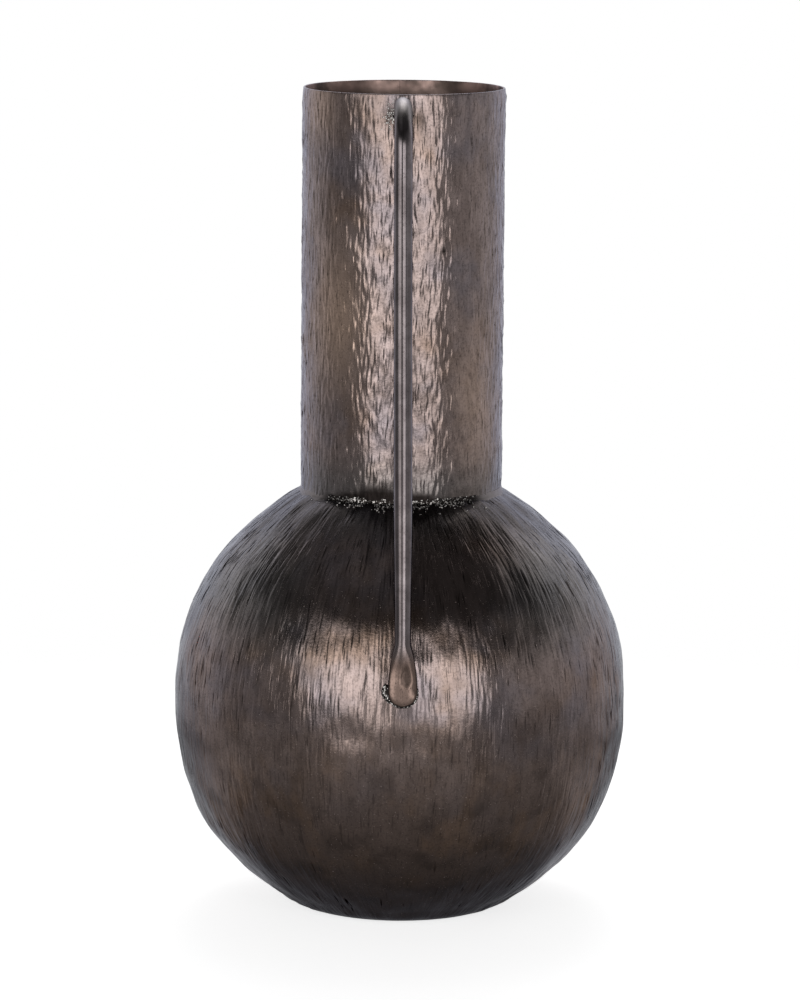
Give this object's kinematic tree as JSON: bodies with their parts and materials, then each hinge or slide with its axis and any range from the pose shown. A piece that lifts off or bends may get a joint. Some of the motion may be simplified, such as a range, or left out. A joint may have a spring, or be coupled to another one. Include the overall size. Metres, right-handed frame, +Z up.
{
  "type": "metal vase",
  "caption": "Free-standing hammered metal vase: ball body, straight open neck and a slim bent rod handle from the rim down to the ball; holds flower stems.",
  "frame": {"origin": "centre of the flat underside of the base pan, on the vase's axis", "axes": "+Z up along the axis to the rim, handle on the -Y side, X across"},
  "size_m": [0.203, 0.2066, 0.3701],
  "materials": {
    "hammered_sheet": "hammered sheet with a dark bronze patina, worn to copper brown on the ridges",
    "handle_rod": "bent and forged round rod, dark bronze patina, hammer marks on the paddle",
    "weld_metal": "rough dark weld metal"
  },
  "bodies": {
    "root": {"base_pan": "hammered_sheet", "lower_bowl": "hammered_sheet", "upper_bowl": "hammered_sheet", "neck_sheet": "hammered_sheet", "neck_seam_weld": "weld_metal", "base_weld": "weld_metal", "equator_weld": "weld_metal", "neck_weld": "weld_metal", "handle": "handle_rod", "handle_root_weld": "weld_metal", "handle_foot_weld": "weld_metal"}
  },
  "joints": []
}
